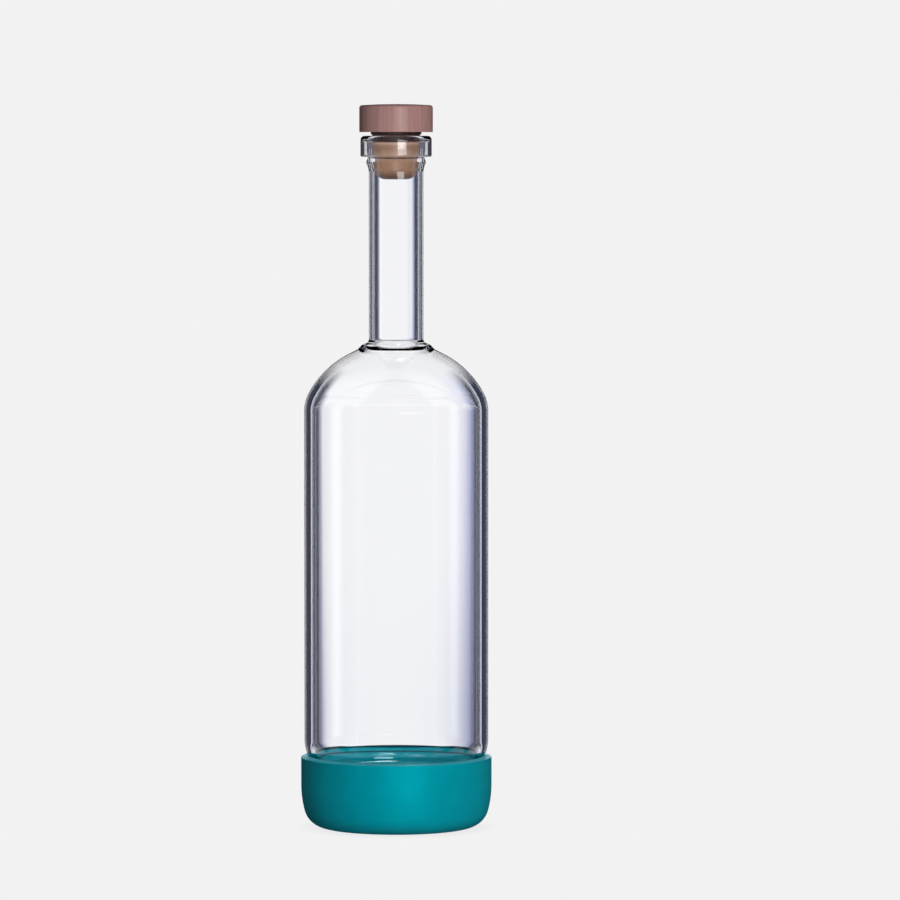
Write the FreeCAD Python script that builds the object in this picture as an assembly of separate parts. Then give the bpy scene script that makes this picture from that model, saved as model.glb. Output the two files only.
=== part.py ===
import FreeCAD, Part
import math
import os

# Infusion bottle: a clear glass bottle with a tall narrow neck, standing in a
# thick silicone boot, closed by a wooden-headed taper stopper.
# Millimetres, +Z up, axis of every piece on Z, origin at the centre of the foot.

os.makedirs("parts", exist_ok=True)
V = FreeCAD.Vector

# ---------------------------------------------------------------- dimensions
# glass body
BODY_R = 35.0            # outer radius of the straight body
BODY_WALL = 2.8          # wall of body, shoulder, heel and floor
HEEL_R = 16.0            # outer heel radius, the inner one is concentric
GLASS_FOOT_Z = 17.7      # underside of the glass floor
SHOULDER_Z = 158.7       # where the straight body ends
SHOULDER_R1 = 14.8       # lower, tighter shoulder arc
SHOULDER_A1 = 29.2       # degrees it turns through
SHOULDER_R2 = 36.1       # upper, wider shoulder arc
SHOULDER_A2 = 34.1       # degrees it turns through

# weld where the neck tube joins the shoulder
WELD_OUT_R = 14.6                       # where the bulge leaves the shoulder
WELD_TOP_R, WELD_TOP_Z = 12.9, 184.0    # crown of the bulge
WELD_NECK_Z = 185.0                     # the bulge meets the tube
WELD_FILLET = 1.6
WELD_INNER_FILLET = 3.0
WELD_RISE = 0.4                         # the shoulder thins a little towards the bore

# neck tube
NECK_R = 10.35
BORE_R = 8.46

# socket at the top of the neck, with a small bead under the skirt
SOCKET_LOW_Z = 249.9
SOCKET_R = 10.8
SOCKET_HIGH_Z = 251.7
BEAD_R, BEAD_Z = 11.35, 253.2
NOTCH_R, NOTCH_Z = 10.75, 254.7
COLLAR_R, COLLAR_Z = 11.15, 258.0

# taper seat inside the socket
SEAT_TOP_R, SEAT_TOP_Z = 9.25, 256.9
SEAT_LOW_Z = 251.2

# lip folded out and down into a short skirt round the socket
LIP_Z = 263.2
LIP_OUTER_FILLET = 1.6
LIP_INNER_FILLET = 1.2
SKIRT_R = 13.5
SKIRT_INNER_R = 12.15
SKIRT_FOOT_Z = 255.3
GAP_TOP_Z = 261.3

# silicone boot
BOOT_R = 36.3
BOOT_RIM_Z = 26.9        # outer edge of the rim
BOOT_RIM_IN_Z = 27.5     # the rim rises to the glass
BOOT_CORNER_R = 8.6      # lower corner
BOOT_CORNER_A = 75.0     # degrees the lower corner turns through
BOOT_SIDE_R = 38.0       # slow arc that runs from the corner into the wall
BOOT_RIM_FILLET = 0.25
BOOT_HEEL_CLEAR = 0.08   # clearance round the glass heel

# stopper plug
PLUG_FLANGE_R = 9.6
PLUG_FLANGE_Z = 263.7
PLUG_R = 9.1
PLUG_LOW_Z = 251.5       # lower end of the part held in the seat
PLUG_NOSE_R = 8.38       # clears the bore below the seat
PLUG_NOSE_Z = 251.1
PLUG_FOOT_Z = 246.7
PLUG_FOOT_FILLET = 4.4

# stopper head
HEAD_R = 13.95
HEAD_Z = 264.6
HEAD_EDGE_Z = 274.75
HEAD_DOME_R, HEAD_DOME_Z = 7.0, 275.1
HEAD_TOP_Z = 275.2
HEAD_TOP_FILLET = 1.1
HEAD_DOME_FILLET = 12.0
HEAD_LOW_FILLET = 0.3


# ------------------------------------------------------------------- helpers
def rounded_outline(corners):
    """A closed wire in the X-Z plane through corners (r, z, fillet radius)."""
    n = len(corners)
    pts = [V(c[0], 0, c[1]) for c in corners]
    starts, ends, mids = [], [], []
    for i in range(n):
        p, a, b = pts[i], pts[i - 1], pts[(i + 1) % n]
        u, w = (a - p).normalize(), (b - p).normalize()
        half = u.getAngle(w) / 2
        rad = corners[i][2]
        if rad <= 0 or abs(half - math.pi / 2) < 1e-6:
            starts.append(p)
            ends.append(p)
            mids.append(None)
            continue
        reach = rad / math.tan(half)
        centre = p + (u + w).normalize() * (rad / math.sin(half))
        starts.append(p + u * reach)
        ends.append(p + w * reach)
        mids.append(centre + (p - centre).normalize() * rad)
    edges = []
    for i in range(n):
        if mids[i] is not None:
            edges.append(Part.Arc(starts[i], mids[i], ends[i]).toShape())
        nxt = starts[(i + 1) % n]
        if ends[i].distanceToPoint(nxt) > 1e-4:
            edges.append(Part.LineSegment(ends[i], nxt).toShape())
    return Part.Wire(Part.__sortEdges__(edges))


def turned(wire):
    """The wire's face turned once round the Z axis."""
    solid = Part.Face(wire).revolve(V(0, 0, 0), V(0, 0, 1), 360)
    if solid.ShapeType != "Solid":
        solid = solid.Solids[0]
    if not solid.isValid():
        solid.fix(1e-6, 1e-6, 1e-6)
    return solid


def shoulder_corners(offset):
    """The two corners of the shoulder's tangent arcs, and its last direction.

    offset moves the whole curve inwards, so that the wall stays even."""
    a1 = math.radians(SHOULDER_A1)
    a2 = math.radians(SHOULDER_A1 + SHOULDER_A2)
    r1, r2 = SHOULDER_R1 - offset, SHOULDER_R2 - offset
    reach1 = r1 * math.tan(a1 / 2)
    reach2 = r2 * math.tan((a2 - a1) / 2)
    first = (BODY_R - offset, SHOULDER_Z + reach1, r1)
    run = reach1 + reach2
    second = (first[0] - run * math.sin(a1), first[1] + run * math.cos(a1), r2)
    return first, second, (-math.sin(a2), math.cos(a2))


def meet(corner, heading, radius):
    """The height at which the line from a corner reaches a radius."""
    return corner[1] + (radius - corner[0]) * heading[1] / heading[0]


def seat_radius(z):
    """Radius of the taper seat at a height."""
    slope = (SEAT_TOP_R - BORE_R) / (SEAT_TOP_Z - SEAT_LOW_Z)
    return SEAT_TOP_R - slope * (SEAT_TOP_Z - z)


# --------------------------------------------------------------- glass bottle
def glass_bottle():
    out1, out2, heading = shoulder_corners(0.0)
    in1, in2, _ = shoulder_corners(BODY_WALL)
    weld_out_z = meet(out2, heading, WELD_OUT_R)
    bore_low_z = meet(in2, heading, BORE_R) + WELD_RISE
    gap_fillet = (SKIRT_INNER_R - COLLAR_R) / 2 - 0.01
    outside = [
        (0.0, GLASS_FOOT_Z, 0),
        (BODY_R, GLASS_FOOT_Z, HEEL_R),
        out1,
        out2,
        (WELD_OUT_R, weld_out_z, 1.2),
        (WELD_TOP_R, WELD_TOP_Z, 1.4),
        (NECK_R, WELD_NECK_Z, WELD_FILLET),
        (NECK_R, SOCKET_LOW_Z, 2.0),
        (SOCKET_R, SOCKET_HIGH_Z, 0.8),
        (BEAD_R, BEAD_Z, 0.8),
        (NOTCH_R, NOTCH_Z, 0.5),
        (COLLAR_R, COLLAR_Z, 3.0),
    ]
    lip = [
        (COLLAR_R, GAP_TOP_Z, gap_fillet),
        (SKIRT_INNER_R, GAP_TOP_Z, gap_fillet),
        (SKIRT_INNER_R, SKIRT_FOOT_Z, 0.55),
        (SKIRT_R, SKIRT_FOOT_Z, 0.6),
        (SKIRT_R, LIP_Z, LIP_OUTER_FILLET),
        (SEAT_TOP_R, LIP_Z, LIP_INNER_FILLET),
    ]
    inside = [
        (SEAT_TOP_R, SEAT_TOP_Z, 1.5),
        (BORE_R, SEAT_LOW_Z, 1.5),
        (BORE_R, bore_low_z, WELD_INNER_FILLET),
        in2,
        in1,
        (BODY_R - BODY_WALL, GLASS_FOOT_Z + BODY_WALL, HEEL_R - BODY_WALL),
        (0.0, GLASS_FOOT_Z + BODY_WALL, 0),
    ]
    return turned(rounded_outline(outside + lip + inside))


# -------------------------------------------------------------- silicone boot
def silicone_boot():
    side_a = math.radians(90 - BOOT_CORNER_A)
    # the flat foot ends where the two arcs, turned back from the wall, land
    flat_r = BOOT_R - BOOT_SIDE_R * (1 - math.cos(side_a)) - BOOT_CORNER_R * math.cos(side_a)
    corner = V(flat_r, 0, BOOT_CORNER_R)
    low_mid = math.radians(-90 + BOOT_CORNER_A / 2)
    low_end = -side_a

    def on_corner(a):
        return corner + V(math.cos(a), 0, math.sin(a)) * BOOT_CORNER_R

    # the slow arc is tangent to the corner and ends upright
    joint = on_corner(low_end)
    side = joint - V(math.cos(side_a), 0, -math.sin(side_a)) * BOOT_SIDE_R
    side_top = side + V(BOOT_SIDE_R, 0, 0)
    side_mid = side + V(math.cos(side_a / 2), 0, -math.sin(side_a / 2)) * BOOT_SIDE_R
    # the glass heel's circle, a little larger
    heel = V(BODY_R - HEEL_R, 0, GLASS_FOOT_Z + HEEL_R)
    hr = HEEL_R + BOOT_HEEL_CLEAR

    def on_heel_z(z):
        return V(heel.x + math.sqrt(hr**2 - (heel.z - z) ** 2), 0, z)

    rim_in = on_heel_z(BOOT_RIM_IN_Z)
    seat_out = on_heel_z(GLASS_FOOT_Z)
    seat_mid = on_heel_z((BOOT_RIM_IN_Z + GLASS_FOOT_Z) / 2)
    # the rim's outer corner, rounded between the upright wall and the sloping rim
    edge = V(BOOT_R, 0, BOOT_RIM_Z)
    down, along = V(0, 0, -1), (rim_in - edge).normalize()
    half = down.getAngle(along) / 2
    reach = BOOT_RIM_FILLET / math.tan(half)
    centre = edge + (down + along).normalize() * (BOOT_RIM_FILLET / math.sin(half))
    edge_mid = centre + (edge - centre).normalize() * BOOT_RIM_FILLET
    edges = [
        Part.LineSegment(V(0, 0, 0), V(flat_r, 0, 0)),
        Part.Arc(V(flat_r, 0, 0), on_corner(low_mid), joint),
        Part.Arc(joint, side_mid, side_top),
        Part.LineSegment(side_top, edge + down * reach),
        Part.Arc(edge + down * reach, edge_mid, edge + along * reach),
        Part.LineSegment(edge + along * reach, rim_in),
        Part.Arc(rim_in, seat_mid, seat_out),
        Part.LineSegment(seat_out, V(0, 0, GLASS_FOOT_Z)),
        Part.LineSegment(V(0, 0, GLASS_FOOT_Z), V(0, 0, 0)),
    ]
    return turned(Part.Wire([e.toShape() for e in edges]))


# ------------------------------------------------------------------- stopper
def stopper_plug():
    seat_hi_z = SEAT_TOP_Z - (SEAT_TOP_R - PLUG_R) * (SEAT_TOP_Z - SEAT_LOW_Z) / (SEAT_TOP_R - BORE_R)
    corners = [
        (0.0, PLUG_FOOT_Z, 0),
        (PLUG_NOSE_R, PLUG_FOOT_Z, PLUG_FOOT_FILLET),
        (PLUG_NOSE_R, PLUG_NOSE_Z, 0),
        (seat_radius(PLUG_LOW_Z), PLUG_LOW_Z, 0),
        (PLUG_R, seat_hi_z, 0),
        (PLUG_R, PLUG_FLANGE_Z, 0.3),
        (PLUG_FLANGE_R, PLUG_FLANGE_Z, 0.15),
        (PLUG_FLANGE_R, HEAD_Z, 0),
        (0.0, HEAD_Z, 0),
    ]
    return turned(rounded_outline(corners))


def stopper_head():
    corners = [
        (0.0, HEAD_Z, 0),
        (HEAD_R, HEAD_Z, HEAD_LOW_FILLET),
        (HEAD_R, HEAD_EDGE_Z, HEAD_TOP_FILLET),
        (HEAD_DOME_R, HEAD_DOME_Z, HEAD_DOME_FILLET),
        (0.0, HEAD_TOP_Z, 0),
    ]
    return turned(rounded_outline(corners))


pieces = {
    "glass_bottle": glass_bottle(),
    "silicone_boot": silicone_boot(),
    "stopper_plug": stopper_plug(),
    "stopper_head": stopper_head(),
}
for name, shape in pieces.items():
    shape.exportStep(f"parts/{name}.step")
    b = shape.BoundBox
    print(name, "valid", shape.isValid(), "cm3", round(shape.Volume / 1000, 2),
          "r", round(b.XMax, 2), "z", round(b.ZMin, 2), round(b.ZMax, 2))
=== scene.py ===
import bpy
import math
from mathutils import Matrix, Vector

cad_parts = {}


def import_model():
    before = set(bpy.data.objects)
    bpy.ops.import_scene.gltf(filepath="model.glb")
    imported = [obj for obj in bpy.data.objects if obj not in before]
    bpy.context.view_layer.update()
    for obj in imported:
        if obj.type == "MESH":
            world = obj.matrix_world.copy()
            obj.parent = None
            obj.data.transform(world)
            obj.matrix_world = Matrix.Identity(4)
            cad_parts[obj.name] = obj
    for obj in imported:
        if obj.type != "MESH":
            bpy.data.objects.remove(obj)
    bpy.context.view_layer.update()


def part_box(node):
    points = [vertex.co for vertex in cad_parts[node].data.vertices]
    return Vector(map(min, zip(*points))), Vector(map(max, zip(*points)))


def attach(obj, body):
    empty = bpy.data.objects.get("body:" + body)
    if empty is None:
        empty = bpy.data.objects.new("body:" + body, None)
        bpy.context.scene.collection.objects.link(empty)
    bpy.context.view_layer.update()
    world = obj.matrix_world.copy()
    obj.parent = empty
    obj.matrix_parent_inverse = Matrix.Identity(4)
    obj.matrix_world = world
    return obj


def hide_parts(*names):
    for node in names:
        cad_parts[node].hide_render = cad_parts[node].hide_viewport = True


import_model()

MM = 0.001

# Sizes of the pieces in millimetres, as in the CAD. Heights are from the foot.
boot_lo, boot_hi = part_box("silicone_boot")
glass_lo, glass_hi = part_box("glass_bottle")
head_lo, head_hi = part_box("stopper_head")
plug_lo, plug_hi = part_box("stopper_plug")

BODY_R = (glass_hi[0] - glass_lo[0]) / 2 / MM
WALL = 2.8
HEEL_R = 16.0
FOOT_Z = glass_lo[2] / MM
HEEL_IN_R, FLOOR_Z = HEEL_R - WALL, FOOT_Z + WALL
RIM_OUT_Z, RIM_IN_Z = 26.9, boot_hi[2] / MM        # the boot's rim rises to the glass
SHOULDER_Z = 158.7
SHOULDER = ((14.8, 29.2), (36.1, 34.1))
NECK_R, BORE_R = 10.35, 8.46
LIP_Z = glass_hi[2] / MM


# ------------------------------------------------------------ turned profiles
def rounded(corners, step=3.0):
    """Points and outward normals along a chain of corners (r, z, fillet).

    The chain starts and ends on the axis, with the solid on its left."""
    pts = [Vector((c[0], c[1])) for c in corners]
    n = len(pts)
    out = []
    for i, p in enumerate(pts):
        rad = corners[i][2]
        if 0 < i < n - 1 and rad > 0:
            d0, d1 = (p - pts[i - 1]).normalized(), (pts[i + 1] - p).normalized()
            turn = math.atan2(d0.x * d1.y - d0.y * d1.x, d0.dot(d1))
            if abs(turn) > 1e-5:
                reach = rad * math.tan(abs(turn) / 2)
                side = 1 if turn > 0 else -1
                start = p - d0 * reach
                centre = start + Vector((-d0.y, d0.x)) * rad * side
                k = max(4, int(math.ceil(abs(math.degrees(turn)) / step)))
                for j in range(k + 1):
                    a = turn * j / k
                    d = Vector((d0.x * math.cos(a) - d0.y * math.sin(a), d0.x * math.sin(a) + d0.y * math.cos(a)))
                    q = centre + Vector((d.y, -d.x)) * rad * side
                    out.append((q, Vector((d.y, -d.x))))
                continue
        if i == 0:
            d = (pts[1] - p).normalized()
            out.append((p, Vector((d.y, -d.x))))
        elif i == n - 1:
            d = (p - pts[i - 1]).normalized()
            out.append((p, Vector((d.y, -d.x))))
        else:
            d0, d1 = (p - pts[i - 1]).normalized(), (pts[i + 1] - p).normalized()
            if d0.dot(d1) > 0.9999:
                out.append((p, Vector((d0.y, -d0.x))))
            else:  # a crease: the same place twice, with each side's normal
                out.append((p, Vector((d0.y, -d0.x))))
                out.append((p.copy(), Vector((d1.y, -d1.x))))
    # drop doubled places whose normals agree
    clean = [out[0]]
    for q, nrm in out[1:]:
        if (q - clean[-1][0]).length < 1e-5 and nrm.dot(clean[-1][1]) > 0.9999:
            continue
        clean.append((q, nrm))
    return clean


def densify(chain, longest):
    """Extra rings on long straight runs, so that shading has points to hold on to."""
    out = [chain[0]]
    for (q, n) in chain[1:]:
        a, na = out[-1]
        gap = (q - a).length
        k = int(gap // longest)
        for j in range(1, k + 1):
            t = j / (k + 1)
            out.append((a.lerp(q, t), na.lerp(n, t).normalized()))
        out.append((q, n))
    return out


def turned(name, chain, segments, shift=(0.0, 0.0)):
    """A mesh turned round Z from a chain of (r, z) points with their normals."""
    verts, normals, rings = [], [], []
    for q, n in chain:
        z = q.y * MM
        if q.x < 1e-6:
            rings.append([len(verts)])
            verts.append((0.0, 0.0, z))
            normals.append((0.0, 0.0, 1.0 if n.y > 0 else -1.0))
            continue
        ring = []
        for s in range(segments):
            a = 2 * math.pi * s / segments
            ring.append(len(verts))
            verts.append((q.x * MM * math.cos(a), q.x * MM * math.sin(a), z))
            normals.append((n.x * math.cos(a), n.x * math.sin(a), n.y))
        rings.append(ring)
    faces = []
    for i in range(len(rings) - 1):
        a, b = rings[i], rings[i + 1]
        if len(a) > 1 and len(b) > 1 and (chain[i][0] - chain[i + 1][0]).length < 1e-6:
            continue  # a crease
        for s in range(segments):
            t = (s + 1) % segments
            if len(a) == 1:
                faces.append((a[0], b[s], b[t]) if len(b) > 1 else ())
            elif len(b) == 1:
                faces.append((a[s], b[0], a[t]))
            else:
                faces.append((a[s], b[s], b[t], a[t]))
    me = bpy.data.meshes.new(name)
    me.from_pydata(verts, [], faces)
    me.validate()
    me.update()
    # the chain may run either way round: face outwards
    vol = 0.0
    for p in me.polygons:
        c = p.center
        vol += c.dot(p.normal) * p.area
    if vol < 0:
        me.flip_normals()
    for p in me.polygons:
        p.use_smooth = True
    me.normals_split_custom_set_from_vertices(normals)
    ob = bpy.data.objects.new(name, me)
    bpy.context.scene.collection.objects.link(ob)
    return ob


def weld_creases(ob):
    """Joins the doubled rings at creases, keeping each face's own normals."""
    me = ob.data
    loops = [tuple(l.vector) for l in me.corner_normals]
    import bmesh
    bm = bmesh.new()
    bm.from_mesh(me)
    before = len(bm.verts)
    order = [[tuple(round(c, 7) for c in v.co) for v in f.verts] for f in bm.faces]
    bmesh.ops.remove_doubles(bm, verts=bm.verts, dist=1e-7)
    if len(bm.faces) != len(order):
        bm.free()
        return
    bm.to_mesh(me)
    bm.free()
    me.normals_split_custom_set(loops)


def shoulder_corners(offset):
    (r1, a1), (r2, a2) = SHOULDER
    a1, a2 = math.radians(a1), math.radians(a1 + a2)
    r1, r2 = r1 - offset, r2 - offset
    t1, t2 = r1 * math.tan(a1 / 2), r2 * math.tan((a2 - a1) / 2)
    first = (BODY_R - offset, SHOULDER_Z + t1, r1)
    second = (first[0] - (t1 + t2) * math.sin(a1), first[1] + (t1 + t2) * math.cos(a1), r2)
    return first, second, (-math.sin(a2), math.cos(a2))


def meet(corner, heading, radius):
    return corner[1] + (radius - corner[0]) * heading[1] / heading[0]


out1, out2, heading = shoulder_corners(0.0)
in1, in2, _ = shoulder_corners(WALL)
glass_chain = [
    (0.0, FOOT_Z, 0),
    (BODY_R, FOOT_Z, HEEL_R),
    out1,
    out2,
    (14.6, meet(out2, heading, 14.6), 1.2),
    (12.9, 184.0, 1.4),
    (NECK_R, 185.0, 1.6),
    (NECK_R, 249.9, 2.0),
    (10.8, 251.7, 0.8),
    (11.35, 253.2, 0.8),
    (10.75, 254.7, 0.5),
    (11.15, 258.0, 3.0),
    (11.15, 261.3, 0.49),
    (12.15, 261.3, 0.49),
    (12.15, 255.3, 0.55),
    (13.5, 255.3, 0.6),
    (13.5, LIP_Z, 1.6),
    (9.25, LIP_Z, 1.2),
    (9.25, 256.9, 1.5),
    (BORE_R, 251.2, 1.5),
    (BORE_R, meet(in2, heading, BORE_R) + 0.4, 3.0),
    in2,
    in1,
    (BODY_R - WALL, FLOOR_Z, HEEL_IN_R),
    (0.0, FLOOR_Z, 0),
]
glass = turned("bottle_glass", densify(rounded(glass_chain, 2.0), 8.0), 152)
weld_creases(glass)


# ------------------------------------------------------------------ materials
def srgb(r, g, b):
    """A colour given as it is seen on a screen, 0 to 255."""
    def lin(c):
        c /= 255.0
        return c / 12.92 if c <= 0.04045 else ((c + 0.055) / 1.055) ** 2.4
    return (lin(r), lin(g), lin(b), 1.0)


def new_material(name):
    m = bpy.data.materials.new(name)
    m.use_nodes = True
    nt = m.node_tree
    nt.nodes.clear()
    return m, nt


def node(nt, kind, **values):
    n = nt.nodes.new(kind)
    for k, v in values.items():
        if hasattr(n, k):
            setattr(n, k, v)
        else:
            n.inputs[k].default_value = v
    return n


def glass_material():
    m, nt = new_material("clear_glass")
    out = node(nt, "ShaderNodeOutputMaterial")
    g = node(nt, "ShaderNodeBsdfPrincipled")
    g.inputs["Base Color"].default_value = (0.985, 0.987, 0.995, 1)
    g.inputs["Roughness"].default_value = 0.0
    g.inputs["IOR"].default_value = 1.47
    g.inputs["Transmission Weight"].default_value = 1.0
    lamp = node(nt, "ShaderNodeBsdfTransparent")
    lamp.inputs["Color"].default_value = (0.94, 0.94, 0.95, 1)
    path = node(nt, "ShaderNodeLightPath")
    either = node(nt, "ShaderNodeMath", operation="MAXIMUM")
    mix = node(nt, "ShaderNodeMixShader")
    nt.links.new(path.outputs["Is Shadow Ray"], either.inputs[0])
    nt.links.new(path.outputs["Is Diffuse Ray"], either.inputs[1])
    nt.links.new(either.outputs[0], mix.inputs[0])
    nt.links.new(g.outputs[0], mix.inputs[1])
    nt.links.new(lamp.outputs[0], mix.inputs[2])
    nt.links.new(mix.outputs[0], out.inputs["Surface"])
    return m


def painted_light_bands(nt, colour, value, rings):
    """The colour, tinted by bands of a value in metres: painted light and shade. rings are (millimetres, tint) pairs.
    """
    L = nt.links.new
    lowest, highest = rings[0][0], rings[-1][0]
    along = node(nt, "ShaderNodeMapRange")
    along.inputs["From Min"].default_value = lowest * MM
    along.inputs["From Max"].default_value = highest * MM
    L(value, along.inputs["Value"])
    bands = node(nt, "ShaderNodeValToRGB")
    cr = bands.color_ramp
    for i, (at, tint) in enumerate(rings):
        spot = (at - lowest) / (highest - lowest)
        e = cr.elements[0] if i == 0 else cr.elements[1] if i == 1 else cr.elements.new(spot)
        e.position = spot
        e.color = tuple(tint) + (1,)
    L(along.outputs["Result"], bands.inputs["Fac"])
    tinted = node(nt, "ShaderNodeMix", data_type="RGBA", blend_type="MULTIPLY")
    tinted.inputs[0].default_value = 1.0
    L(colour, tinted.inputs[6])
    L(bands.outputs["Color"], tinted.inputs[7])
    return tinted.outputs[2]


def silicone_material(name, gloss, rings=()):
    """Matte teal rubber. rings are (radius in mm, tint) pairs: painted light and shade, bands made paler or darker by
    radius.
    """
    m, nt = new_material(name)
    out = node(nt, "ShaderNodeOutputMaterial")
    p = node(nt, "ShaderNodeBsdfPrincipled")
    p.inputs["Roughness"].default_value = 0.5
    p.inputs["Specular IOR Level"].default_value = gloss
    p.inputs["Specular Tint"].default_value = (0.0, 0.75, 0.9, 1)
    co = node(nt, "ShaderNodeTexCoord")
    mottle = node(nt, "ShaderNodeTexNoise")
    mottle.inputs["Scale"].default_value = 90.0
    mottle.inputs["Detail"].default_value = 3.0
    ramp = node(nt, "ShaderNodeValToRGB")
    ramp.color_ramp.elements[0].position = 0.35
    ramp.color_ramp.elements[0].color = srgb(0, 158, 174)
    ramp.color_ramp.elements[1].position = 0.65
    ramp.color_ramp.elements[1].color = srgb(0, 166, 182)
    fine = node(nt, "ShaderNodeTexNoise")
    fine.inputs["Scale"].default_value = 2600.0
    fine.inputs["Detail"].default_value = 2.0
    bump = node(nt, "ShaderNodeBump")
    bump.inputs["Strength"].default_value = 0.12
    bump.inputs["Distance"].default_value = 0.00005
    L = nt.links.new
    L(co.outputs["Object"], mottle.inputs["Vector"])
    L(co.outputs["Object"], fine.inputs["Vector"])
    L(mottle.outputs["Fac"], ramp.inputs["Fac"])
    base = ramp.outputs["Color"]
    if rings:
        flat = node(nt, "ShaderNodeVectorMath", operation="MULTIPLY")
        flat.inputs[1].default_value = (1.0, 1.0, 0.0)
        L(co.outputs["Object"], flat.inputs[0])
        out_by = node(nt, "ShaderNodeVectorMath", operation="LENGTH")
        L(flat.outputs["Vector"], out_by.inputs[0])
        base = painted_light_bands(nt, base, out_by.outputs["Value"], rings)
    L(base, p.inputs["Base Color"])
    L(fine.outputs["Fac"], bump.inputs["Height"])
    L(bump.outputs["Normal"], p.inputs["Normal"])
    L(p.outputs[0], out.inputs["Surface"])
    return m


def wood_material(name, dark, light, streak, rough, rings=()):
    """Fine-grained wood with the grain running up the axis.

    rings are (height in mm, tint) pairs: painted light and shade, bands made paler or darker by height."""
    m, nt = new_material(name)
    out = node(nt, "ShaderNodeOutputMaterial")
    p = node(nt, "ShaderNodeBsdfPrincipled")
    p.inputs["Roughness"].default_value = rough
    p.inputs["Specular IOR Level"].default_value = 0.3
    co = node(nt, "ShaderNodeTexCoord")
    mp = node(nt, "ShaderNodeMapping")
    mp.inputs["Scale"].default_value = (1.0, 1.0, streak)
    noise = node(nt, "ShaderNodeTexNoise")
    noise.inputs["Scale"].default_value = 520.0
    noise.inputs["Detail"].default_value = 5.0
    noise.inputs["Roughness"].default_value = 0.6
    ramp = node(nt, "ShaderNodeValToRGB")
    ramp.color_ramp.elements[0].position = 0.3
    ramp.color_ramp.elements[0].color = dark
    ramp.color_ramp.elements[1].position = 0.7
    ramp.color_ramp.elements[1].color = light
    bump = node(nt, "ShaderNodeBump")
    bump.inputs["Strength"].default_value = 0.15
    bump.inputs["Distance"].default_value = 0.0001
    L = nt.links.new
    L(co.outputs["Object"], mp.inputs["Vector"])
    L(mp.outputs["Vector"], noise.inputs["Vector"])
    L(noise.outputs["Fac"], ramp.inputs["Fac"])
    base = ramp.outputs["Color"]
    if rings:
        split = node(nt, "ShaderNodeSeparateXYZ")
        L(co.outputs["Object"], split.inputs[0])
        base = painted_light_bands(nt, base, split.outputs["Z"], rings)
    L(base, p.inputs["Base Color"])
    L(noise.outputs["Fac"], bump.inputs["Height"])
    L(bump.outputs["Normal"], p.inputs["Normal"])
    L(p.outputs[0], out.inputs["Surface"])
    return m


GLASS = glass_material()
SILICONE = silicone_material("teal_silicone", 0.8)
def grey(v):
    return (v, v, v)
# painted light and shade on the seat inside the boot: bands by radius, the ones tinted above 1 are painted highlights
# and the dark ones (0.35, 0.2) are painted shade
SILICONE_SEAT_PAINTED_LIGHT = silicone_material("teal_silicone_seat_painted_light", 0.0, [
    (0.0, grey(0.9)), (18.0, grey(0.9)), (24.0, grey(0.95)), (28.6, grey(0.95)), (29.3, grey(1.35)), (31.4, grey(1.35)), (31.7, grey(0.35)),
    (31.95, grey(0.35)), (32.2, grey(1.3)), (33.1, grey(1.3)), (33.2, grey(0.2)), (33.6, grey(0.2))])
WOOD = wood_material("head_wood", srgb(172, 128, 122), srgb(194, 150, 146), 0.07, 0.36)
# painted shade: the plug's top ring under the head is coloured near-black brown to stand for the shadow between the
# head and the glass lip
FLANGE_PAINTED_SHADE = wood_material("plug_shoulder_painted_shade", srgb(40, 26, 26), srgb(56, 36, 34), 0.2, 0.6)
# painted light and shade on the plug by height: painted shade darkens its rounded foot (246-248 mm) and a groove line
# (254.3-255 mm), and the paler bands at 256.2 and 260.1 mm are painted highlights
PLUG_PAINTED_LIGHT_BANDS = [
    (246.0, (0.10, 0.07, 0.06)), (247.0, (0.14, 0.10, 0.09)), (248.2, (0.27, 0.22, 0.19)), (249.4, (0.40, 0.33, 0.28)),
    (251.5, (0.47, 0.39, 0.33)), (254.1, (0.46, 0.39, 0.34)), (254.3, (0.07, 0.05, 0.04)), (255.0, (0.09, 0.06, 0.05)),
    (255.3, (0.50, 0.44, 0.40)), (256.2, (0.66, 0.60, 0.55)), (256.9, (0.58, 0.51, 0.46)), (258.3, (0.50, 0.43, 0.38)),
    (259.6, (0.54, 0.48, 0.43)), (260.1, (0.84, 0.78, 0.74)), (260.7, (0.84, 0.78, 0.74)),
]
PLUG = wood_material("plug_tan", srgb(214, 176, 150), srgb(226, 190, 164), 0.15, 0.42, PLUG_PAINTED_LIGHT_BANDS)

glass.data.materials.append(GLASS)
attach(glass, "root")
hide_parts("glass_bottle")


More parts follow.
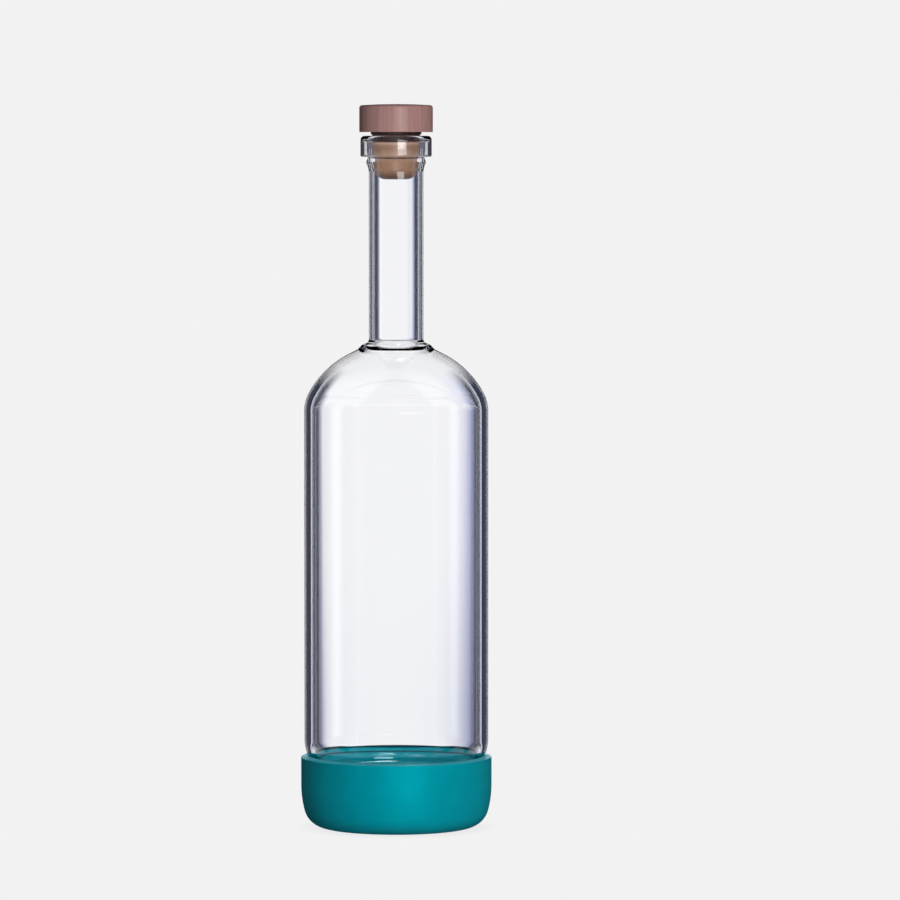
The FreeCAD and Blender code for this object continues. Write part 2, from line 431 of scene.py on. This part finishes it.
# ------------------------------------------------------------------ the boot
def boot_chain(gap):
    br = (boot_hi[0] - boot_lo[0]) / 2 / MM
    chain = []

    def arc(cx, cz, r, a0, a1, out=1, step=3.0):
        k = max(3, int(abs(a1 - a0) / step))
        for j in range(k + 1):
            a = math.radians(a0 + (a1 - a0) * j / k)
            n = Vector((math.cos(a), math.sin(a)))
            chain.append((Vector((cx, cz)) + n * r, n * out))
    side_a = 15.0
    sa = math.radians(side_a)
    flat = br - 38.0 * (1 - math.cos(sa)) - 8.6 * math.cos(sa)
    joint = Vector((flat + 8.6 * math.cos(sa), 8.6 - 8.6 * math.sin(sa)))
    side = joint - Vector((math.cos(sa), -math.sin(sa))) * 38.0
    chain.append((Vector((0.0, 0.0)), Vector((0, -1))))
    arc(flat, 8.6, 8.6, -90, -side_a)
    arc(side.x, side.y, 38.0, -side_a, 0)
    rim = 0.25
    tilt = math.degrees(math.atan2(RIM_IN_Z - RIM_OUT_Z, 2.7))
    arc(br - rim, RIM_OUT_Z - rim, rim, 0, 90 - tilt, step=15)
    hr = HEEL_R + gap
    cz = FOOT_Z + HEEL_R
    a_rim = math.degrees(math.asin((RIM_IN_Z - cz) / hr))
    a_low = -math.degrees(math.acos(math.sqrt(max(0.0, hr**2 - HEEL_R**2)) / hr)) if gap > 0 else -90.0
    edge_r = BODY_R - HEEL_R + hr * math.cos(math.radians(a_rim))
    chain.append((Vector((edge_r, RIM_IN_Z)), Vector((math.sin(math.radians(tilt)), math.cos(math.radians(tilt))))))
    arc(BODY_R - HEEL_R, cz, hr, a_rim, a_low, out=-1)
    chain.append((Vector((0.0, chain[-1][0].y)), Vector((0, 1))))
    clean = [chain[0]]
    for q, n in chain[1:]:
        if (q - clean[-1][0]).length < 1e-5 and n.dot(clean[-1][1]) > 0.9999:
            continue
        clean.append((q, n))
    return clean


boot = turned("boot", densify(boot_chain(-0.02), 4.0), 192)
weld_creases(boot)
boot.data.materials.append(SILICONE)
boot.data.materials.append(SILICONE_SEAT_PAINTED_LIGHT)
# the recess inside the boot takes the seat colour with its painted rings of light and shade
for p in boot.data.polygons:
    c = p.center / MM
    if c.z > FOOT_Z - 0.1 and math.hypot(c.x, c.y) < BODY_R - 1.2 and c.z < RIM_IN_Z - 0.05:
        p.material_index = 1
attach(boot, "root")
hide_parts("silicone_boot")

# ---------------------------------------------------------------- the stopper
plug_chain = [
    (0.0, 246.7, 0),
    (8.38, 246.7, 4.4),
    (8.38, 251.1, 0.3),
    (8.47, 251.5, 0.3),
    (9.1 - 0.04, 255.82, 0.4),
    (9.1 - 0.04, 260.7, 0),
    (9.1 - 0.04, 263.7, 0.3),
    (9.6, 263.7, 0.15),
    (9.6, 264.6, 0.1),
    (0.0, 264.6, 0),
]
plug = turned("plug", densify(rounded(plug_chain, 6.0), 2.0), 128)
weld_creases(plug)
plug.data.materials.append(PLUG)
plug.data.materials.append(FLANGE_PAINTED_SHADE)
# the plug's top above 260.7 mm takes the near-black painted-shade colour
for p in plug.data.polygons:
    if p.center.z / MM > 260.7:
        p.material_index = 1
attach(plug, "root")
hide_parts("stopper_plug")

head_chain = [
    (0.0, 264.6, 0),
    (13.95, 264.6, 0.3),
    (13.95, 274.75, 1.1),
    (7.0, 275.1, 12.0),
    (0.0, 275.2, 0),
]
head = turned("head", densify(rounded(head_chain, 6.0), 2.0), 160)
weld_creases(head)
head.data.materials.append(WOOD)
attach(head, "root")
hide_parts("stopper_head")


# --------------------------------------------------------------------- stage
PALE = srgb(242, 242, 242)


def stage_floor():
    me = bpy.data.meshes.new("floor")
    k, r = 96, 6.0
    verts = [(0, 0, -0.0002)] + [(r * math.cos(2 * math.pi * i / k), r * math.sin(2 * math.pi * i / k), -0.0002) for i in range(k)]
    me.from_pydata(verts, [], [(0, 1 + i, 1 + (i + 1) % k) for i in range(k)])
    ob = bpy.data.objects.new("floor", me)
    bpy.context.scene.collection.objects.link(ob)
    m, nt = new_material("pale_floor")
    out = node(nt, "ShaderNodeOutputMaterial")
    em = node(nt, "ShaderNodeEmission")
    # painted contact shadow: the floor's even glow is darkened towards srgb(232) where ambient occlusion finds the
    # boot close by
    ao = node(nt, "ShaderNodeAmbientOcclusion")
    ao.samples = 8
    ao.inputs["Distance"].default_value = 0.008
    ramp = node(nt, "ShaderNodeValToRGB")
    ramp.color_ramp.elements[0].position = 0.0
    ramp.color_ramp.elements[0].color = srgb(232, 232, 234)
    ramp.color_ramp.elements[1].position = 0.9
    ramp.color_ramp.elements[1].color = PALE
    nt.links.new(ao.outputs["AO"], ramp.inputs["Fac"])
    nt.links.new(ramp.outputs["Color"], em.inputs["Color"])
    nt.links.new(em.outputs[0], out.inputs["Surface"])
    me.materials.append(m)
    ob.visible_diffuse = False
    ob.visible_glossy = False
    ob.visible_transmission = False
    ob.visible_shadow = False


stage_floor()


def world():
    w = bpy.data.worlds.new("studio")
    bpy.context.scene.world = w
    w.use_nodes = True
    nt = w.node_tree
    nt.nodes.clear()
    L = nt.links.new
    out = node(nt, "ShaderNodeOutputWorld")
    co = node(nt, "ShaderNodeTexCoord")
    sep = node(nt, "ShaderNodeSeparateXYZ")
    L(co.outputs["Generated"], sep.inputs[0])

    def math_node(op, a, b=None, c=None):
        n = nt.nodes.new("ShaderNodeMath")
        n.operation = op
        for i, v in enumerate((a, b, c)):
            if v is None:
                continue
            if hasattr(v, "links"):
                L(v, n.inputs[i])
            else:
                n.inputs[i].default_value = v
        return n.outputs[0]

    def between(v, a, b):
        n = nt.nodes.new("ShaderNodeMapRange")
        n.clamp = True
        L(v, n.inputs["Value"])
        n.inputs["From Min"].default_value = a
        n.inputs["From Max"].default_value = b
        n.inputs["To Min"].default_value = 0.0
        n.inputs["To Max"].default_value = 1.0
        return n.outputs["Result"]

    az = math_node("MULTIPLY", math_node("ARCTAN2", sep.outputs["X"], sep.outputs["Y"]), 180 / math.pi)
    el = math_node("MULTIPLY", math_node("ARCSINE", sep.outputs["Z"]), 180 / math.pi)
    turn = math_node("WRAP", math_node("ADD", az, 0.52), 45.0, -45.0)    # the same every quarter turn
    # level with the bottle the pattern runs in upright stripes; above and below it closes into rings
    level = math_node("MAXIMUM", math_node("MINIMUM", el, -2.2), -7.0)
    over = math_node("SUBTRACT", el, level)
    squeeze = math_node("ADD", 1.0, math_node("MULTIPLY", between(el, -7.0, -17.0), 0.6))
    wide = math_node("MULTIPLY", turn, squeeze)
    reach = math_node("SQRT", math_node("ADD", math_node("MULTIPLY", wide, wide), math_node("MULTIPLY", over, over)))
    pos = math_node("DIVIDE", reach, 45.0)
    is_right = between(turn, -5.0, 5.0)

    def ramp(fac, stops):
        n = nt.nodes.new("ShaderNodeValToRGB")
        cr = n.color_ramp
        cr.elements[0].position, cr.elements[0].color = stops[0]
        cr.elements[1].position, cr.elements[1].color = stops[-1]
        for p, c in stops[1:-1]:
            e = cr.elements.new(p)
            e.color = c
        L(fac, n.inputs["Fac"])
        return n.outputs["Color"]

    def mix(fac, a, b):
        n = nt.nodes.new("ShaderNodeMix")
        n.data_type = "RGBA"
        L(fac, n.inputs[0])
        for v, i in ((a, 6), (b, 7)):
            if hasattr(v, "links"):
                L(v, n.inputs[i])
            else:
                n.inputs[i].default_value = v
        return n.outputs[2]

    def pattern(left, right, spread):
        """Stripes as (degrees from the middle, brightness on screen, how much bluer)."""
        def tone(v, blue):
            return srgb(v, v + blue * 0.12, v + blue)
        sides = [ramp(pos, [((d + spread) / 45.0, tone(v, b)) for d, v, b in half]) for half in (left, right)]
        return mix(is_right, sides[0], sides[1])

    edge = [(14, 44, 16), (18, 46, 18), (22, 76, 30), (26, 78, 16), (30, 55, 18), (33, 52, 18), (34.5, 90, 16), (36.2, 215, 16), (39, 238, 14), (40.6, 130, 16), (41.6, 56, 16)]
    high = pattern(
        [(7.3, 253, 1), (8.3, 245, 5), (9.3, 226, 8), (10.3, 174, 16), (11.5, 142, 18), (13, 88, 24), (15, 58, 20)] + edge[1:],
        [(7.3, 252, 1), (8.3, 247, 5), (9.3, 226, 12), (10.3, 192, 18), (11.5, 156, 22), (13, 115, 22), (15, 60, 22)] + edge[1:],
        0.26)
    upper = pattern(
        [(7.3, 253, 1), (8.3, 228, 10), (9.3, 174, 15), (10.3, 128, 20), (11.5, 62, 28), (13, 44, 18)] + edge,
        [(3, 253, 1), (4.5, 235, 10), (6, 230, 16), (7.3, 200, 30), (8.3, 177, 34), (9.3, 150, 36), (10.3, 124, 34), (11.5, 95, 34), (13, 50, 18)] + edge,
        0.9)
    middle = pattern(
        [(6.3, 253, 1), (7.3, 246, 4), (8.3, 200, 14), (9.3, 162, 20), (10.3, 118, 24), (11.5, 58, 26), (13, 43, 16)] + edge,
        [(1.5, 253, 1), (3, 249, 4), (4.5, 229, 13), (6, 220, 20), (7.3, 195, 30), (8.3, 168, 32), (9.3, 146, 36), (10.3, 116, 38), (11.5, 98, 38), (13, 50, 20)] + edge,
        0.9)
    low = pattern(
        [(3, 251, 2), (6, 239, 6), (7.3, 205, 14), (8.3, 160, 20), (9.3, 130, 24), (10.3, 95, 22), (11.5, 52, 26), (13, 42, 16)] + edge,
        [(0, 250, 3), (1.5, 244, 5), (3, 232, 10), (4.5, 203, 18), (6, 193, 28), (7.3, 172, 30), (8.3, 141, 30), (9.3, 122, 30), (10.3, 96, 30), (11.5, 77, 32), (13, 46, 18)] + edge,
        0.9)

    blended = node(nt, "ShaderNodeMix", data_type="RGBA")
    blended.inputs[0].default_value = 0.5
    L(high, blended.inputs[6])
    L(upper, blended.inputs[7])
    seen = mix(between(el, -1.75, -2.5), blended.outputs[2], upper)
    seen = mix(between(el, -0.4, 0.4), seen, upper)
    seen = mix(between(el, -3.0, -4.1), seen, middle)
    seen = mix(between(el, -4.1, -5.6), seen, low)
    # well above and below the bottle's own level the room is pale
    steep = math_node("MULTIPLY", math_node("ARCTAN2", math_node("ABSOLUTE", over), math_node("ABSOLUTE", turn)), 180 / math.pi)
    steep = math_node("MULTIPLY", between(steep, 31.0, 49.0), between(math_node("ABSOLUTE", over), 2.0, 5.0))
    seen = mix(steep, seen, srgb(243, 243, 244))
    # at the height of the skirt the sides of the room are pale, seen straight through
    skirt = math_node("MULTIPLY", between(el, -0.33, -0.315), between(el, -0.09, -0.105))
    lp = node(nt, "ShaderNodeLightPath")
    straight = math_node("COMPARE", lp.outputs["Ray Depth"], 5.0, 0.5)
    ahead = math_node("LESS_THAN", math_node("ABSOLUTE", az), 48.0)
    seen = mix(math_node("MULTIPLY", math_node("MULTIPLY", skirt, straight), ahead), seen, srgb(244, 244, 246))
    walled = math_node("COMPARE", lp.outputs["Ray Depth"], 4.0, 0.5)
    seen = mix(math_node("MULTIPLY", skirt, walled), seen, srgb(62, 60, 70))
    seen = mix(math_node("MULTIPLY", skirt, math_node("GREATER_THAN", lp.outputs["Ray Depth"], 5.5)), seen, srgb(112, 110, 120))
    # beyond the outer ring: pale everywhere below, and everywhere high above
    outside = between(reach, 40.0, 43.0)
    seen = mix(math_node("MULTIPLY", outside, between(el, -9.0, -13.0)), seen, srgb(231, 232, 236))
    # light that has bounced about inside the bottle shows no stripes
    back = math_node("GREATER_THAN", math_node("ABSOLUTE", az), 128.0)
    seen = mix(math_node("MULTIPLY", back, math_node("SUBTRACT", 1.0, straight)), seen, mix(between(el, -8.0, -11.0), srgb(72, 73, 78), srgb(176, 177, 182)))
    # what the wet-looking inside of the floor and heel mirrors: a dark ceiling, a lamp of three tubes and a dim panel
    mirrored = math_node("COMPARE", lp.outputs["Ray Depth"], 6.0, 0.5)
    later = math_node("MULTIPLY", math_node("GREATER_THAN", lp.outputs["Ray Depth"], 6.5), between(el, 25.0, 20.0))
    later = math_node("MULTIPLY", later, between(math_node("ABSOLUTE", turn), 20.0, 14.0))
    off_floor = math_node("MULTIPLY", math_node("MAXIMUM", mirrored, later), between(el, 1.5, 3.0))
    seen = mix(off_floor, seen, srgb(14, 40, 46))
    lamp = None
    for x0, x1, y0, y1, soft, glow in (
            (0.02, 0.27, -0.10, 0.18, 0.012, 30.0), (0.03, 0.17, 0.30, 0.45, 0.012, 15.0), (-0.006, 0.035, 0.79, 0.92, 0.006, 9.0),
            (-0.30, -0.15, 0.02, 0.26, 0.05, 7.0)):
        tube = None
        for v, a, b in ((sep.outputs["X"], x0, x1), (sep.outputs["Y"], y0, y1)):
            for edge_in, edge_out in ((a - soft, a + soft), (b + soft, b - soft)):
                m = between(v, edge_in, edge_out)
                tube = m if tube is None else math_node("MULTIPLY", tube, m)
        tube = math_node("MULTIPLY", tube, glow)
        lamp = tube if lamp is None else math_node("ADD", lamp, tube)
    lamp = math_node("MULTIPLY", math_node("MULTIPLY", lamp, mirrored), math_node("GREATER_THAN", sep.outputs["Z"], 0.3))
    lit = node(nt, "ShaderNodeVectorMath", operation="SCALE")
    lit.inputs[0].default_value = (0.55, 1.0, 1.0)
    L(lamp, lit.inputs["Scale"])
    both = node(nt, "ShaderNodeVectorMath", operation="ADD")
    L(seen, both.inputs[0])
    L(lit.outputs["Vector"], both.inputs[1])
    seen = both.outputs["Vector"]
    bg_seen = node(nt, "ShaderNodeBackground")
    L(seen, bg_seen.inputs["Color"])
    bg_seen.inputs["Strength"].default_value = 1.075
    bg_cam = node(nt, "ShaderNodeBackground")
    bg_cam.inputs["Color"].default_value = PALE
    bg_amb = node(nt, "ShaderNodeBackground")
    bg_amb.inputs["Color"].default_value = (0.9, 0.93, 1.0, 1)
    bg_amb.inputs["Strength"].default_value = 0.06
    m1 = node(nt, "ShaderNodeMixShader")
    L(lp.outputs["Is Diffuse Ray"], m1.inputs[0])
    L(bg_seen.outputs[0], m1.inputs[1])
    L(bg_amb.outputs[0], m1.inputs[2])
    bg_gloss = node(nt, "ShaderNodeBackground")          # the room behind the camera is dark
    bg_gloss.inputs["Color"].default_value = (0.0, 0.0, 0.0, 1)
    m0 = node(nt, "ShaderNodeMixShader")
    L(math_node("SUBTRACT", lp.outputs["Is Glossy Ray"], lp.outputs["Is Transmission Ray"]), m0.inputs[0])
    L(m1.outputs[0], m0.inputs[1])
    L(bg_gloss.outputs[0], m0.inputs[2])
    m2 = node(nt, "ShaderNodeMixShader")
    L(lp.outputs["Is Camera Ray"], m2.inputs[0])
    L(m0.outputs[0], m2.inputs[1])
    L(bg_cam.outputs[0], m2.inputs[2])
    L(m2.outputs[0], out.inputs["Surface"])


world()


def softbox(name, azimuth, distance, low, high, width, radiance, seen_through=False, glossy=True):
    """An upright soft light facing the bottle. Azimuth 0 is the camera's side, positive to its right."""
    a = math.radians(azimuth)
    data = bpy.data.lights.new(name, "AREA")
    data.shape = "RECTANGLE"
    data.size, data.size_y = width, high - low
    data.energy = radiance * math.pi * width * (high - low)
    ob = bpy.data.objects.new(name, data)
    bpy.context.scene.collection.objects.link(ob)
    ob.location = (math.sin(a) * distance, -math.cos(a) * distance, (low + high) / 2)
    ob.rotation_euler = (math.pi / 2, 0, a)
    ob.visible_transmission = seen_through
    ob.visible_glossy = glossy
    ob.visible_camera = False
    return ob


def only_on(light, *pieces):
    """The other pieces take no light and no reflection of it."""
    group = bpy.data.collections.new("lit_by_" + light.name)
    for ob in pieces:
        group.objects.link(ob)
    light.light_linking.receiver_collection = group


only_on(softbox("key", 16.0, 1.6, -0.42, 1.2, 0.6, 6.6), boot, head)
only_on(softbox("plug_key", 0.0, 1.6, -0.2, 1.0, 0.4, 20.0), plug)
above = softbox("above", 0.0, 0.0, 1.1, 1.6, 0.5, 4.6)
above.rotation_euler = (0, 0, 0)                         # this one hangs overhead and faces down
above.location = (0, 0, 1.3)
only_on(above, boot)
only_on(softbox("rim", 180.0, 2.0, 0.03, 0.7, 0.4, 6.0), boot)
softbox("strip", 21.0, 1.5, 0.233, 0.262, 0.80, 4.4, seen_through=True)
softbox("back", 180.0, 1.6, -0.4, 1.2, 0.8, 2.6, glossy=False)
softbox("back_right", 132.0, 1.6, -0.4, 1.2, 0.5, 0.7, glossy=False)
softbox("back_left", 228.0, 1.6, -0.4, 1.2, 0.5, 0.7, glossy=False)


# -------------------------------------------------------------------- camera
FRAME_W = 0.34176         # width of the picture at the bottle
DIST = 2.267
SIDE = 0.02045            # the bottle stands left of the middle
EYE_Z, AIM_Z = 0.26746, 0.14386
cam_data = bpy.data.cameras.new("camera")
cam_data.sensor_width = 36.0
cam_data.lens = 36.0 * DIST / FRAME_W
cam_data.clip_start, cam_data.clip_end = 0.05, 50
cam = bpy.data.objects.new("camera", cam_data)
bpy.context.scene.collection.objects.link(cam)
cam.location = (SIDE, -DIST, EYE_Z)
cam.rotation_euler = (Vector((SIDE, 0, AIM_Z)) - cam.location).to_track_quat("-Z", "Y").to_euler()
bpy.context.scene.camera = cam
bpy.context.scene.view_settings.view_transform = "Standard"
bpy.context.scene.view_settings.look = "None"
